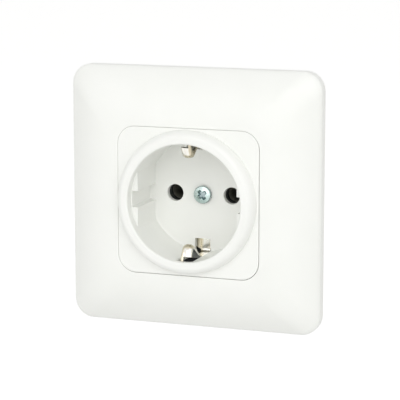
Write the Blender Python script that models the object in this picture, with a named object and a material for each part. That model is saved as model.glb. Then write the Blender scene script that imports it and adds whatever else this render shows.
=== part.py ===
"""Flush-mounted earthed wall socket with round well and side earth clips.

Metres. The origin is the centre of the wall plane, +X right, +Y into the wall, +Z up.
"""

import math

import bmesh
import bpy
from mathutils import Vector
from mathutils.geometry import interpolate_bezier

# Clearances
GAP = 0.0003
THREAD_GAP = 0.00015
TINY = 0.001
STEP_SHARE = 0.05

# Cover frame
FRAME_MARGIN = 0.0057
FRAME_CORNER_RADIUS = 0.0062
FRAME_EDGE_HEIGHT = 0.0044
FRAME_EDGE_ROUNDING = 0.0012
FRAME_WALL = 0.0018
FACE_HEIGHT = 0.0109
CROWN_POWER = 2.2
LEDGE_WIDTH = 0.0012
LEDGE_THICKNESS = 0.0015
SKIRT_WALL = 0.0014
SKIRT_NOTCH_WIDTH = 0.032
SKIRT_NOTCH_HEIGHT = 0.0029

# Centre cover
PLATE_MARGIN = 0.0008
PLATE_CORNER_RADIUS = 0.0057
PLATE_THICKNESS = 0.002
PLATE_EDGE_ROUNDING = 0.0003
COLLAR_WIDTH = 0.003
COLLAR_FLARE = 0.0011
COLLAR_HEIGHT = 0.0025
COLLAR_ROUNDING = 0.0008
WELL_RADIUS = 0.0185
WELL_DEPTH = 0.0178
WELL_WALL = 0.0013
WELL_LIP_ROUNDING = 0.0005
FLOOR_THICKNESS = 0.002
FLAT_INSET = 0.0022
FLAT_DROP = 0.0022
GROOVE_WIDTH = 0.0052
GROOVE_DEPTH = 0.0019
SLOT_WIDTH = 0.0057
SLOT_REACH = 0.0018
SLOT_DROP = 0.0007
WINDOW_HEIGHT = 0.0038
PIN_SPACING = 0.019
PIN_HOLE_RADIUS = 0.0027

# Cover screw and its bush
COVER_SCREW_RADIUS = 0.00175
COVER_SCREW_LENGTH = 0.0108
COVER_HEAD_RADIUS = 0.00285
COVER_HEAD_HEIGHT = 0.0015
RECESS_ARM = 0.0034
RECESS_WIDTH = 0.0008
RECESS_DEPTH = 0.0011
BUSH_WALL = 0.0012
BUSH_LENGTH = 0.008

# Earth strap
STRAP_THICKNESS = 0.0008
STRAP_EDGE_WIDTH = 0.0006
STRAP_EDGE_DROP = 0.00025
CLIP_WIDTH = 0.0034
CLIP_TIP_LENGTH = 0.0008
CLIP_FINGER_WIDTH = 0.0009
CLIP_TONGUE_DROP = 0.0013
CLIP_FOOT_DEPTH = 0.0015
CLIP_CREST_DEPTH = 0.0043
CLIP_CREST_REACH = 0.0045
CLIP_REAR_DEPTH = 0.0122
STRAP_ROOT_WIDTH = 0.0060
STRAP_BAR_WIDTH = 0.0078
STRAP_RIB_WIDTH = 0.0008
STRAP_RIB_PITCH = 0.0019
STRAP_RIB_HEIGHT = 0.00025
STRAP_TAB_WIDTH = 0.003
STRAP_TAB_Z = 0.0078
STRAP_TAB_INSET = 0.0044

# Contact cover and base
CONTACT_COVER_THICKNESS = 0.0016
BASE_FLAT_INSET = 0.0055
BASE_DEPTH = 0.0203
BASE_REAR_CHAMFER = 0.0012
POST_WIDTH = 0.018
POST_DEPTH = 0.0048
GUIDE_RIB_HEIGHT = 0.0022
GUIDE_RIB_WIDTH = 0.0012
GUIDE_RIB_SETBACK = 0.0024

# Live and neutral contacts
SLEEVE_RADIUS = 0.00245
SLEEVE_WALL = 0.0006
SLEEVE_LENGTH = 0.014
SLEEVE_SLIT = 0.0012
SLEEVE_FLARE = 0.0006
SLEEVE_PINCH = 0.00035
TAIL_WIDTH = 0.0044
TAIL_THICKNESS = 0.0008
TAIL_DEPTH = 0.0093

# Terminals, each set in from the base's flat side and from the posts
LINE_TERMINAL_INSET = 0.006
LINE_TERMINAL_DROP = 0.0127
EARTH_TERMINAL_INSET = 0.009
EARTH_TERMINAL_DROP = 0.0097
CAGE_WIDTH = 0.007
CAGE_HEIGHT = 0.006
CAGE_WALL = 0.001
CAGE_WIRE_ROOM = 0.0038
TERMINAL_SCREW_RADIUS = 0.00175
TERMINAL_HEAD_RADIUS = 0.003
TERMINAL_HEAD_HEIGHT = 0.0022
WIRE_HOLE_RADIUS = 0.0019
DRIVER_HOLE_RADIUS = 0.0023

# Support ring and rivets
RING_MARGIN = 0.0055
RING_CLEARANCE = 0.0021
RING_CORNER_CUT = 0.014
RING_THICKNESS = 0.001
BOX_SCREW_MARGIN = 0.0048
BOX_SLOT_RADIUS = 0.0019
BOX_SLOT_LENGTH = 0.009
RIVET_RADIUS = 0.0011
RIVET_HEAD_RADIUS = 0.0019
RIVET_HEAD_HEIGHT = 0.0009
RIVET_LENGTH = 0.006
RIVET_X = 0.006

# Spreading claws
CLAW_SCREW_STANDOFF = 0.0032
CLAW_SCREW_RADIUS = 0.0015
CLAW_SCREW_LENGTH = 0.0245
CLAW_HEAD_RADIUS = 0.0028
CLAW_HEAD_HEIGHT = 0.0019
NUT_DEPTH = 0.017
NUT_HALF_X = 0.0024
NUT_HALF_Y = 0.0018
NUT_HALF_Z = 0.0026
TRUNNION_RADIUS = 0.001
CLAW_THICKNESS = 0.0009
CLAW_WEB_DISTANCE = 0.0032
CLAW_EAR_HALF_LENGTH = 0.0021
CLAW_REACH = 0.0085
CLAW_TOOTH = 0.0015

# Contact cover screws
SMALL_SCREW_RADIUS = 0.0011
SMALL_HEAD_RADIUS = 0.0021
SMALL_HEAD_HEIGHT = 0.0008
SMALL_SCREW_LENGTH = 0.0065
SMALL_SCREW_X = 0.0065
SMALL_SCREW_INSET = 0.0049

# Facets
ROUND_STEPS = 56
SMALL_STEPS = 24
CORNER_STEPS = 6
CROWN_ROWS = 8

# Sizes across the axis, from the well outwards
FLAT_DISTANCE = WELL_RADIUS - FLAT_INSET
COLLAR_TOP_RADIUS = WELL_RADIUS + COLLAR_WIDTH
COLLAR_BASE_RADIUS = COLLAR_TOP_RADIUS + COLLAR_FLARE
PLATE_WIDTH = 2 * (COLLAR_BASE_RADIUS + PLATE_MARGIN)
RING_OPENING_RADIUS = WELL_RADIUS + SLOT_REACH + RING_CLEARANCE
POST_INNER_Z = RING_OPENING_RADIUS + GAP
CONTACT_COVER_RADIUS = POST_INNER_Z - GAP
BASE_RADIUS = POST_INNER_Z + POST_DEPTH
BASE_HALF_WIDTH = BASE_RADIUS - BASE_FLAT_INSET
LINE_TERMINAL_X = BASE_HALF_WIDTH - LINE_TERMINAL_INSET
LINE_TERMINAL_Z = LINE_TERMINAL_DROP - POST_INNER_Z
EARTH_TERMINAL_X = BASE_HALF_WIDTH - EARTH_TERMINAL_INSET
EARTH_TERMINAL_Z = POST_INNER_Z - EARTH_TERMINAL_DROP
STRAP_TAB_X = EARTH_TERMINAL_X - STRAP_TAB_INSET
CLAW_SCREW_X = BASE_HALF_WIDTH + CLAW_SCREW_STANDOFF
BOX_SCREW_SPACING = 2 * (CLAW_SCREW_X + BOX_SCREW_MARGIN)
RING_WIDTH = BOX_SCREW_SPACING + 2 * RING_MARGIN
FRAME_WIDTH = RING_WIDTH + 2 * FRAME_MARGIN

# Planes along Y, from the front to the back
FACE_Y = -FACE_HEIGHT
RIM_Y = FACE_Y - COLLAR_HEIGHT
PLATE_BACK_Y = FACE_Y + PLATE_THICKNESS
FLOOR_Y = RIM_Y + WELL_DEPTH
FLOOR_BACK_Y = FLOOR_Y + FLOOR_THICKNESS
STRAP_Y = FLOOR_BACK_Y + GAP + STRAP_THICKNESS / 2
CONTACT_COVER_Y = STRAP_Y + STRAP_THICKNESS / 2 + GAP
BASE_Y = CONTACT_COVER_Y + CONTACT_COVER_THICKNESS + GAP
BASE_BACK_Y = BASE_Y + BASE_DEPTH
TAIL_Y = BASE_Y + TAIL_DEPTH
TAIL_BACK_Y = TAIL_Y + TAIL_THICKNESS
CAGE_FRONT_Y = TAIL_Y - 2 * GAP - CAGE_WALL
CAGE_BACK_Y = TAIL_BACK_Y + CAGE_WIRE_ROOM + CAGE_WALL
TERMINAL_HEAD_Y = BASE_Y + GAP + TERMINAL_HEAD_HEIGHT
RING_FRONT_Y = -RING_THICKNESS

# Materials: base colour, roughness, metallic
WHITE_PLASTIC = ("white_plastic", (0.86, 0.86, 0.82), 0.35, 0.0)
BLACK_PLASTIC = ("black_plastic", (0.02, 0.02, 0.022), 0.5, 0.0)
GREY_PLASTIC = ("grey_plastic", (0.20, 0.20, 0.21), 0.5, 0.0)
ZINC_STEEL = ("zinc_steel", (0.62, 0.65, 0.70), 0.35, 1.0)
NICKEL = ("nickel", (0.66, 0.62, 0.54), 0.25, 1.0)
BRASS = ("brass", (0.72, 0.55, 0.25), 0.3, 1.0)


def clear_scene():
    for obj in list(bpy.data.objects):
        bpy.data.objects.remove(obj, do_unlink=True)


def material_of(spec):
    name, colour, roughness, metallic = spec
    found = bpy.data.materials.get(name)
    if found:
        return found
    material = bpy.data.materials.new(name)
    material.use_nodes = True
    shader = material.node_tree.nodes["Principled BSDF"]
    shader.inputs["Base Color"].default_value = (*colour, 1.0)
    shader.inputs["Roughness"].default_value = roughness
    shader.inputs["Metallic"].default_value = metallic
    return material


def object_from(name, bm):
    """Weld a bmesh, turn its faces out and link it as an object."""
    bmesh.ops.remove_doubles(bm, verts=bm.verts, dist=1e-7)
    bmesh.ops.recalc_face_normals(bm, faces=bm.faces)
    mesh = bpy.data.meshes.new(name)
    bm.to_mesh(mesh)
    bm.free()
    obj = bpy.data.objects.new(name, mesh)
    bpy.context.scene.collection.objects.link(obj)
    return obj


def finish(obj, spec, location=(0, 0, 0), turn=0.0):
    """Give a piece its material and smooth shading, and put it in its place."""
    obj.data.materials.clear()
    obj.data.materials.append(material_of(spec))
    obj.data.shade_smooth()
    obj.data.set_sharp_from_angle(angle=math.radians(35))
    obj.location = location
    obj.rotation_euler = (0, turn, 0)
    return obj


def combine(target, tools, operation):
    """Join the tools to the target, or cut them from it, and drop them."""
    for tool in tools:
        modifier = target.modifiers.new(tool.name, "BOOLEAN")
        modifier.operation = operation
        modifier.object = tool
    graph = bpy.context.evaluated_depsgraph_get()
    mesh = bpy.data.meshes.new_from_object(target.evaluated_get(graph))
    target.modifiers.clear()
    target.data = mesh
    for tool in tools:
        bpy.data.objects.remove(tool, do_unlink=True)
    return target


def join(target, *tools):
    return combine(target, tools, "UNION")


def cut(target, *tools):
    return combine(target, tools, "DIFFERENCE")


def arc(centre, radius, start, end, steps):
    """Points on an arc, with angles in degrees and both ends included."""
    angles = [math.radians(start + (end - start) * i / steps) for i in range(steps + 1)]
    return [(centre[0] + radius * math.cos(a), centre[1] + radius * math.sin(a)) for a in angles]


def circle(radius, steps, centre=(0, 0)):
    """Round outline, turned half a facet so that no corner lies on the axes."""
    half = 180 / steps
    return arc(centre, radius, half, 360 + half, steps)[:-1]


def rounded_rectangle(half_x, half_z, radius, steps=CORNER_STEPS):
    x = half_x - radius
    z = half_z - radius
    corners = ((x, z, 0), (-x, z, 90), (-x, -z, 180), (x, -z, 270))
    points = []
    for cx, cz, start in corners:
        points += arc((cx, cz), radius, start, start + 90, steps)
    return points


def obround(half_length, radius, centre, along_x):
    """Outline of a slot with round ends, along X or along Z."""
    straight = half_length - radius
    x, z = centre
    if along_x:
        return arc((x + straight, z), radius, -90, 90, 8) + arc((x - straight, z), radius, 90, 270, 8)
    return arc((x, z + straight), radius, 0, 180, 8) + arc((x, z - straight), radius, 180, 360, 8)


def clipped_circle(radius, half_width, steps):
    """Circle whose left and right sides are cut off flat where they reach past the half width."""
    edge = math.degrees(math.acos(min(half_width / radius, 1)))
    top = arc((0, 0), radius, edge, 180 - edge, steps)
    return top + [(-x, -z) for x, z in top]


def prism(name, outline, start, end, axis="Y"):
    """Extrude an outline along an axis: (x, z) along Y, (x, y) along Z, (y, z) along X."""
    place = {
        "X": lambda a, b, c: (c, a, b),
        "Y": lambda a, b, c: (a, c, b),
        "Z": lambda a, b, c: (a, b, c),
    }[axis]
    bm = bmesh.new()
    face = bm.faces.new([bm.verts.new(place(a, b, start)) for a, b in outline])
    grown = bmesh.ops.extrude_face_region(bm, geom=[face])
    verts = [item for item in grown["geom"] if isinstance(item, bmesh.types.BMVert)]
    bmesh.ops.translate(bm, verts=verts, vec=Vector(place(0, 0, end - start)))
    return object_from(name, bm)


def box(name, low, high):
    """Box between two corners."""
    outline = [(low[0], low[2]), (high[0], low[2]), (high[0], high[2]), (low[0], high[2])]
    return prism(name, outline, low[1], high[1])


def rod(name, radius, start, end, centre, steps=SMALL_STEPS, axis="Y"):
    """Round rod or drill along an axis."""
    return prism(name, circle(radius, steps, centre), start, end, axis)


def lathe(name, profile, steps, closed=False):
    """Spin a profile of (radius, y) points about the Y axis, with flat ends or joined into a ring."""
    bm = bmesh.new()
    verts = [bm.verts.new((radius, y, 0)) for radius, y in profile]
    ends = verts + verts[:1] if closed else verts
    edges = [bm.edges.new(pair) for pair in zip(ends, ends[1:])]
    bmesh.ops.spin(
        bm,
        geom=verts + edges,
        axis=(0, 1, 0),
        cent=(0, 0, 0),
        steps=steps,
        angle=math.tau,
        use_merge=True,
    )
    if not closed:
        bmesh.ops.holes_fill(bm, edges=bm.edges)
    return object_from(name, bm)


def skin(name, rings, closed=False):
    """Loft through rings of equal length, capped at both ends or joined into a loop."""
    bm = bmesh.new()
    loops = [[bm.verts.new(point) for point in ring] for ring in rings]
    pairs = list(zip(loops, loops[1:]))
    if closed:
        pairs.append((loops[-1], loops[0]))
    for low, high in pairs:
        for i, vert in enumerate(low):
            j = (i + 1) % len(low)
            bm.faces.new((vert, low[j], high[j], high[i]))
    if not closed:
        bm.faces.new(loops[0])
        bm.faces.new(loops[-1])
    return object_from(name, bm)


def ribbon(name, path, thickness, place):
    """Bent strip with softened front edges; a path point is (u, v, low edge, high edge)."""
    points = [Vector(step[:2]) for step in path]
    rings = []
    for i, (u, v, low, high) in enumerate(path):
        before = points[max(i - 1, 0)]
        after = points[min(i + 1, len(points) - 1)]
        tangent = (after - before).normalized()
        turn = 1.0
        if 0 < i < len(points) - 1:
            first = (points[i] - before).normalized()
            turn = max(first.dot(tangent), 0.5)
        side = Vector((-tangent.y, tangent.x)) * (thickness / 2 / turn)
        front = points[i] + side
        back = points[i] - side
        edge = front.lerp(back, STRAP_EDGE_DROP / thickness)
        soft = min(STRAP_EDGE_WIDTH, (high - low) / 3)
        ring = [place(*front, low + soft), place(*front, high - soft)]
        ring += [place(*edge, high), place(*back, high), place(*back, low), place(*edge, low)]
        rings.append(ring)
    return skin(name, rings)


def square_ring(half, radius, y, steps=CORNER_STEPS):
    return [(x, y, z) for x, z in rounded_rectangle(half, half, radius, steps)]


def frame_crown_height(share):
    """Height of the crowned front, from the opening (0) to the outer edge (1)."""
    drop = FACE_HEIGHT - FRAME_EDGE_HEIGHT
    return FACE_HEIGHT - drop * share**CROWN_POWER


def frame_section():
    """Half-widths, corner radii and Y of the frame's section, once round it."""
    half = FRAME_WIDTH / 2
    opening = PLATE_WIDTH / 2 + GAP
    opening_radius = PLATE_CORNER_RADIUS + GAP
    crown_end = half - FRAME_EDGE_ROUNDING / 2
    inner_half = half - FRAME_WALL
    inner_radius = FRAME_CORNER_RADIUS - FRAME_WALL
    ledge_top = FACE_HEIGHT - PLATE_THICKNESS - GAP
    ledge_inner = opening - LEDGE_WIDTH
    foot = RING_THICKNESS + GAP
    section = [(opening, opening_radius, FACE_HEIGHT - PLATE_EDGE_ROUNDING)]
    for row in range(CROWN_ROWS + 1):
        share = row / CROWN_ROWS
        start = opening + PLATE_EDGE_ROUNDING
        here = start + (crown_end - start) * share
        radius = opening_radius + (FRAME_CORNER_RADIUS - opening_radius) * share
        section.append((here, radius, frame_crown_height(share)))
    centre = (half - FRAME_EDGE_ROUNDING, FRAME_EDGE_HEIGHT - FRAME_EDGE_ROUNDING)
    for here, height in arc(centre, FRAME_EDGE_ROUNDING, 45, 0, 3):
        section.append((here, FRAME_CORNER_RADIUS, height))
    section.append((half, FRAME_CORNER_RADIUS, 0))
    section.append((inner_half, inner_radius, 0))
    section.append((inner_half, inner_radius, FRAME_EDGE_HEIGHT - FRAME_WALL))
    skirt_outer = opening + SKIRT_WALL
    for row in range(CROWN_ROWS - 2, 0, -2):
        share = row / CROWN_ROWS
        here = skirt_outer + (inner_half - skirt_outer) * share
        section.append((here, opening_radius, frame_crown_height(share) - FRAME_WALL))
    section.append((skirt_outer, opening_radius + SKIRT_WALL, FACE_HEIGHT - FRAME_WALL))
    section.append((skirt_outer, opening_radius + SKIRT_WALL, foot))
    section.append((opening, opening_radius, foot))
    section.append((opening, opening_radius, ledge_top - LEDGE_THICKNESS))
    ledge_radius = opening_radius - LEDGE_WIDTH
    section.append((ledge_inner, ledge_radius, ledge_top - LEDGE_THICKNESS))
    section.append((ledge_inner, ledge_radius, ledge_top))
    section.append((opening, opening_radius, ledge_top))
    return section


def make_cover_frame():
    rings = [square_ring(half, radius, -height) for half, radius, height in frame_section()]
    frame = skin("cover_frame", rings, closed=True)
    reach = PLATE_WIDTH / 2 + GAP + SKIRT_WALL + TINY
    notch = SKIRT_NOTCH_WIDTH / 2
    foot = RING_THICKNESS + GAP
    top = -(foot + SKIRT_NOTCH_HEIGHT)
    across = box("skirt_notch_x", (-reach, top, -notch), (reach, -foot + TINY, notch))
    upright = box("skirt_notch_z", (-notch, top, -reach), (notch, -foot + TINY, reach))
    cut(frame, across, upright)
    finish(frame, WHITE_PLASTIC)


def cover_blank():
    """Plate, collar and well wall as one solid, before the well is cut."""
    half = PLATE_WIDTH / 2
    soft = PLATE_EDGE_ROUNDING
    rings = [
        square_ring(half - soft, PLATE_CORNER_RADIUS - soft, FACE_Y),
        square_ring(half, PLATE_CORNER_RADIUS, FACE_Y + soft),
        square_ring(half, PLATE_CORNER_RADIUS, PLATE_BACK_Y),
    ]
    plate = skin("centre_cover", rings)
    outer = WELL_RADIUS + WELL_WALL
    middle_y = FACE_Y + PLATE_THICKNESS / 2
    crown_centre = (COLLAR_TOP_RADIUS - COLLAR_ROUNDING, RIM_Y + COLLAR_ROUNDING)
    profile = arc(crown_centre, COLLAR_ROUNDING, -90, -15, 4)
    profile += [(COLLAR_BASE_RADIUS, FACE_Y), (COLLAR_BASE_RADIUS, middle_y), (outer, middle_y)]
    profile.append((outer, FLOOR_BACK_Y))
    return join(plate, lathe("collar", profile, ROUND_STEPS))


def well_cutter():
    """The plug's room: a round well with two flats that start below the rim."""
    lip = arc((WELL_RADIUS + WELL_LIP_ROUNDING, RIM_Y + WELL_LIP_ROUNDING), WELL_LIP_ROUNDING, 270, 180, 3)
    profile = [(lip[0][0], RIM_Y - TINY), *lip, (WELL_RADIUS, FLOOR_Y)]
    cutter = lathe("well", profile, ROUND_STEPS)
    reach = WELL_RADIUS + TINY
    blocks = []
    for side in (-1, 1):
        low = min(side * FLAT_DISTANCE, side * reach)
        high = max(side * FLAT_DISTANCE, side * reach)
        corner = (low, RIM_Y + FLAT_DROP, -WELL_RADIUS)
        blocks.append(box("flat", corner, (high, FLOOR_Y + TINY, WELL_RADIUS)))
    return cut(cutter, *blocks)


def groove_cutters():
    """Keyway in the middle of each flat, as deep as the well."""
    cutters = []
    half = GROOVE_WIDTH / 2
    outline = rounded_rectangle(GROOVE_DEPTH, half, GROOVE_DEPTH * 0.4, 3)
    for side in (-1, 1):
        shifted = [(x + side * FLAT_DISTANCE, z) for x, z in outline]
        cutters.append(prism("groove", shifted, RIM_Y + FLAT_DROP - TINY, FLOOR_Y))
    return cutters


def slot_cutters():
    """Slots through the wall for the earth clips, as wide as the windows in the floor behind them."""
    cutters = []
    half = SLOT_WIDTH / 2
    reach = WELL_RADIUS + SLOT_REACH
    for side in (-1, 1):
        near = side * (WELL_RADIUS - TINY)
        far = side * reach
        low = (-half, RIM_Y + SLOT_DROP, min(near, far))
        high = (half, FLOOR_BACK_Y + TINY, max(near, far))
        cutters.append(box("slot", low, high))
        inner = side * (WELL_RADIUS - WINDOW_HEIGHT)
        outer = side * (WELL_RADIUS - GAP)
        low = (-half, FLOOR_Y - TINY, min(inner, outer))
        high = (half, FLOOR_BACK_Y + TINY, max(inner, outer))
        cutters.append(box("window", low, high))
    return cutters


def make_centre_cover():
    cover = cover_blank()
    cut(cover, well_cutter())
    cut(cover, *groove_cutters())
    cut(cover, *slot_cutters())
    front = FLOOR_Y - TINY
    back = FLOOR_BACK_Y + TINY
    places = ((-PIN_SPACING / 2, 0), (PIN_SPACING / 2, 0))
    drills = [rod("pin_hole", PIN_HOLE_RADIUS, front, back, place) for place in places]
    drills.append(rod("screw_hole", COVER_SCREW_RADIUS + GAP, front, back, (0, 0)))
    cut(cover, *drills)
    finish(cover, WHITE_PLASTIC)


def screw_blank(name, head_radius, head_height, radius, length, steps=SMALL_STEPS):
    """Screw with its head's underside at y = 0 and its shank along +Y."""
    soft = head_height * 0.35
    tip = radius * 0.35
    profile = [(head_radius - soft, -head_height), (head_radius, soft - head_height)]
    profile += [(head_radius, 0), (radius, 0), (radius, length - tip), (radius - tip, length)]
    return lathe(name, profile, steps)


def slotted_screw(name, head_radius, head_height, radius, length):
    screw = screw_blank(name, head_radius, head_height, radius, length)
    half = head_radius * 0.14
    low = (-head_radius - TINY, -head_height - TINY, -half)
    high = (head_radius + TINY, -head_height * 0.45, half)
    return cut(screw, box("driver_slot", low, high))


def cross_outline(arm, width):
    """Plus sign, once round."""
    a = arm / 2
    w = width / 2
    quarter = [(a, -w), (a, w), (w, w)]
    points = []
    for _ in range(4):
        points += quarter
        quarter = [(-z, x) for x, z in quarter]
    return points


def make_cover_screw():
    screw = screw_blank(
        "cover_screw", COVER_HEAD_RADIUS, COVER_HEAD_HEIGHT, COVER_SCREW_RADIUS, COVER_SCREW_LENGTH, 32
    )
    star = cross_outline(RECESS_ARM, RECESS_WIDTH)
    front = -COVER_HEAD_HEIGHT - TINY
    cut(screw, prism("recess", star, front, RECESS_DEPTH - COVER_HEAD_HEIGHT))
    finish(screw, ZINC_STEEL, (0, FLOOR_Y - GAP, 0))


def make_earth_bush():
    inner = COVER_SCREW_RADIUS + THREAD_GAP
    outer = COVER_SCREW_RADIUS + BUSH_WALL
    end = CONTACT_COVER_Y + BUSH_LENGTH
    profile = [(inner, CONTACT_COVER_Y), (outer, CONTACT_COVER_Y), (outer, end), (inner, end)]
    finish(lathe("earth_bush", profile, SMALL_STEPS, closed=True), BRASS)


def clip_path():
    """Centre line of one sprung end and half of the bar, as (y, z), from the tip to the middle."""
    slot_z = WELL_RADIUS + STRAP_THICKNESS
    foot = Vector((RIM_Y + CLIP_FOOT_DEPTH, WELL_RADIUS + GAP))
    crest = Vector((RIM_Y + CLIP_CREST_DEPTH, WELL_RADIUS - CLIP_CREST_REACH))
    rear = Vector((RIM_Y + CLIP_REAR_DEPTH, slot_z))
    rise = foot.y - crest.y
    ramp = interpolate_bezier(
        foot,
        foot + Vector((rise * 0.05, -rise * 0.5)),
        crest - Vector((rise * 0.33, 0)),
        crest,
        9,
    )
    slope = interpolate_bezier(
        crest,
        crest + Vector((rise * 0.2, 0)),
        rear - Vector((rise * 0.42, 0)),
        rear,
        9,
    )
    tip = foot + Vector((0, CLIP_TIP_LENGTH))
    bend = STRAP_THICKNESS * 1.5
    corner = arc((STRAP_Y - bend, slot_z - bend), bend, 90, 0, 4)
    return [tip, *ramp, *slope[1:], *map(Vector, corner)]


def strap_path():
    """Whole centre line with the strip's edges, from the lower tip to the upper tip.

    The front of each clip ends in a free tongue, and a finger along one edge goes on into the slot.
    """
    clip = clip_path()
    tongue_z = WELL_RADIUS - CLIP_TONGUE_DROP
    count = next(i for i, point in enumerate(clip) if point.y < tongue_z)
    outer, inner = clip[count - 1], clip[count]
    tongue = outer.lerp(inner, (outer.y - tongue_z) / (outer.y - inner.y))
    half_width = CLIP_WIDTH / 2
    step = tongue.lerp(inner, STEP_SHARE)
    arm = [(p.x, -p.y, -half_width, CLIP_FINGER_WIDTH - half_width) for p in [*clip[:count], tongue]]
    arm += [(p.x, -p.y, -half_width, half_width) for p in [step, *clip[count:]]]
    root = STRAP_ROOT_WIDTH / 2
    bar = STRAP_BAR_WIDTH / 2
    window = WELL_RADIUS - WINDOW_HEIGHT
    root_z = WELL_RADIUS - STRAP_THICKNESS
    half = arm[:-1]
    half.append((STRAP_Y, -root_z, -root, root))
    half.append((STRAP_Y, -window, -root, root))
    half.append((STRAP_Y, -window + STRAP_TAB_WIDTH, -bar, bar))
    return half + [(y, -z, -high, -low) for y, z, low, high in reversed(half)]


def earth_tab():
    """Tab that leads back from the bar to the earth terminal."""
    low = STRAP_TAB_Z - STRAP_TAB_WIDTH / 2
    high = STRAP_TAB_Z + STRAP_TAB_WIDTH / 2
    tail_mid = TAIL_Y + TAIL_THICKNESS / 2
    bend = STRAP_THICKNESS * 1.5
    start = STRAP_BAR_WIDTH / 2 - TINY
    turn_back = arc((STRAP_TAB_X - bend, STRAP_Y + bend), bend, -90, 0, 4)
    turn_out = arc((STRAP_TAB_X + bend, tail_mid - bend), bend, 180, 90, 4)
    end = EARTH_TERMINAL_X
    route = [(start, STRAP_Y), *turn_back, *turn_out, (end, tail_mid)]
    path = [(x, y, low, high) for x, y in route]
    return ribbon("earth_tab", path, STRAP_THICKNESS, lambda u, v, w: (u, v, w))


def strap_ribs():
    """Stiffening ribs across each floor window."""
    ribs = []
    front = STRAP_Y - STRAP_THICKNESS / 2 - STRAP_RIB_HEIGHT
    inner = WELL_RADIUS - WINDOW_HEIGHT + GAP
    outer = WELL_RADIUS - STRAP_THICKNESS - GAP
    for side in (-1, 1):
        for column in (-1, 0, 1):
            x = column * STRAP_RIB_PITCH
            low = (x - STRAP_RIB_WIDTH / 2, front, min(side * inner, side * outer))
            high = (x + STRAP_RIB_WIDTH / 2, STRAP_Y, max(side * inner, side * outer))
            ribs.append(box("rib", low, high))
    return ribs


def make_earth_strap():
    strap = ribbon("earth_strap", strap_path(), STRAP_THICKNESS, lambda u, v, w: (w, u, v))
    tail_half = TAIL_WIDTH / 2
    tail = box(
        "earth_tail",
        (EARTH_TERMINAL_X - tail_half, TAIL_Y, STRAP_TAB_Z - STRAP_TAB_WIDTH / 2),
        (EARTH_TERMINAL_X + tail_half, TAIL_BACK_Y, EARTH_TERMINAL_Z + CAGE_HEIGHT / 2),
    )
    join(strap, earth_tab(), tail, *strap_ribs())
    hole = rod("strap_hole", COVER_SCREW_RADIUS + GAP, STRAP_Y - TINY, STRAP_Y + TINY, (0, 0))
    cut(strap, hole)
    finish(strap, NICKEL)


def make_contact_cover():
    outline = clipped_circle(CONTACT_COVER_RADIUS, BASE_HALF_WIDTH - GAP, 24)
    end = CONTACT_COVER_Y + CONTACT_COVER_THICKNESS
    plate = prism("contact_cover", outline, CONTACT_COVER_Y, end)
    front = CONTACT_COVER_Y - TINY
    back = end + TINY
    holes = [
        (PIN_HOLE_RADIUS, (-PIN_SPACING / 2, 0)),
        (PIN_HOLE_RADIUS, (PIN_SPACING / 2, 0)),
        (COVER_SCREW_RADIUS + BUSH_WALL + GAP, (0, 0)),
        (DRIVER_HOLE_RADIUS, (-LINE_TERMINAL_X, LINE_TERMINAL_Z)),
        (DRIVER_HOLE_RADIUS, (LINE_TERMINAL_X, LINE_TERMINAL_Z)),
        (DRIVER_HOLE_RADIUS, (EARTH_TERMINAL_X, EARTH_TERMINAL_Z)),
    ]
    holes += [(SMALL_SCREW_RADIUS + GAP, place) for place in small_screw_places()]
    drills = [rod("hole", radius, front, back, place) for radius, place in holes]
    cut(plate, *drills, earth_leg_slot(front, back))
    finish(plate, BLACK_PLASTIC)


def earth_leg_slot(front, back):
    """Way through for the earth strap's leg."""
    half = STRAP_THICKNESS / 2 + GAP
    side = STRAP_TAB_WIDTH / 2 + GAP
    low = (STRAP_TAB_X - STRAP_THICKNESS / 2 - half - GAP, front, STRAP_TAB_Z - side)
    high = (STRAP_TAB_X + half, back, STRAP_TAB_Z + side)
    return box("leg_slot", low, high)


def terminal_pocket(x, z):
    """Room for one cage, open to the front."""
    half = CAGE_WIDTH / 2 + GAP
    side = CAGE_HEIGHT / 2 + GAP
    low = (x - half, BASE_Y - TINY, z - side)
    return box("pocket", low, (x + half, CAGE_BACK_Y + GAP, z + side))


def line_cutters(side):
    """Sleeve cavity, tail channel, cage pocket and wire hole for one line contact."""
    front = BASE_Y - TINY
    tail_end = TAIL_BACK_Y + GAP
    x = side * PIN_SPACING / 2
    cavity_radius = SLEEVE_RADIUS + SLEEVE_WALL + SLEEVE_FLARE + GAP
    sleeve_end = BASE_Y + GAP + SLEEVE_LENGTH + GAP
    terminal = side * LINE_TERMINAL_X
    half = TAIL_WIDTH / 2 + GAP
    outer = terminal + side * half
    across = (min(x, outer), front, -half), (max(x, outer), tail_end, half)
    down = (terminal - half, front, LINE_TERMINAL_Z), (terminal + half, tail_end, 0)
    wire_y = TAIL_BACK_Y + CAGE_WIRE_ROOM / 2
    return [
        rod("cavity", cavity_radius, front, sleeve_end, (x, 0)),
        box("across", *across),
        box("down", *down),
        terminal_pocket(terminal, LINE_TERMINAL_Z),
        rod("wire", WIRE_HOLE_RADIUS, -BASE_RADIUS - TINY, LINE_TERMINAL_Z, (terminal, wire_y), axis="Z"),
    ]


def earth_cutters():
    """Leg slot, tail channel, cage pocket and wire hole for the earth terminal."""
    front = BASE_Y - TINY
    tail_end = TAIL_BACK_Y + GAP
    side = STRAP_TAB_WIDTH / 2 + GAP
    half = TAIL_WIDTH / 2 + GAP
    right = EARTH_TERMINAL_X + half
    low_z = STRAP_TAB_Z - side
    wire_y = TAIL_BACK_Y + CAGE_WIRE_ROOM / 2
    centre = (EARTH_TERMINAL_X, wire_y)
    return [
        earth_leg_slot(front, tail_end),
        box("channel", (STRAP_TAB_X, front, low_z), (right, tail_end, EARTH_TERMINAL_Z)),
        terminal_pocket(EARTH_TERMINAL_X, EARTH_TERMINAL_Z),
        rod("wire", WIRE_HOLE_RADIUS, EARTH_TERMINAL_Z, BASE_RADIUS + TINY, centre, axis="Z"),
    ]


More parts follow.
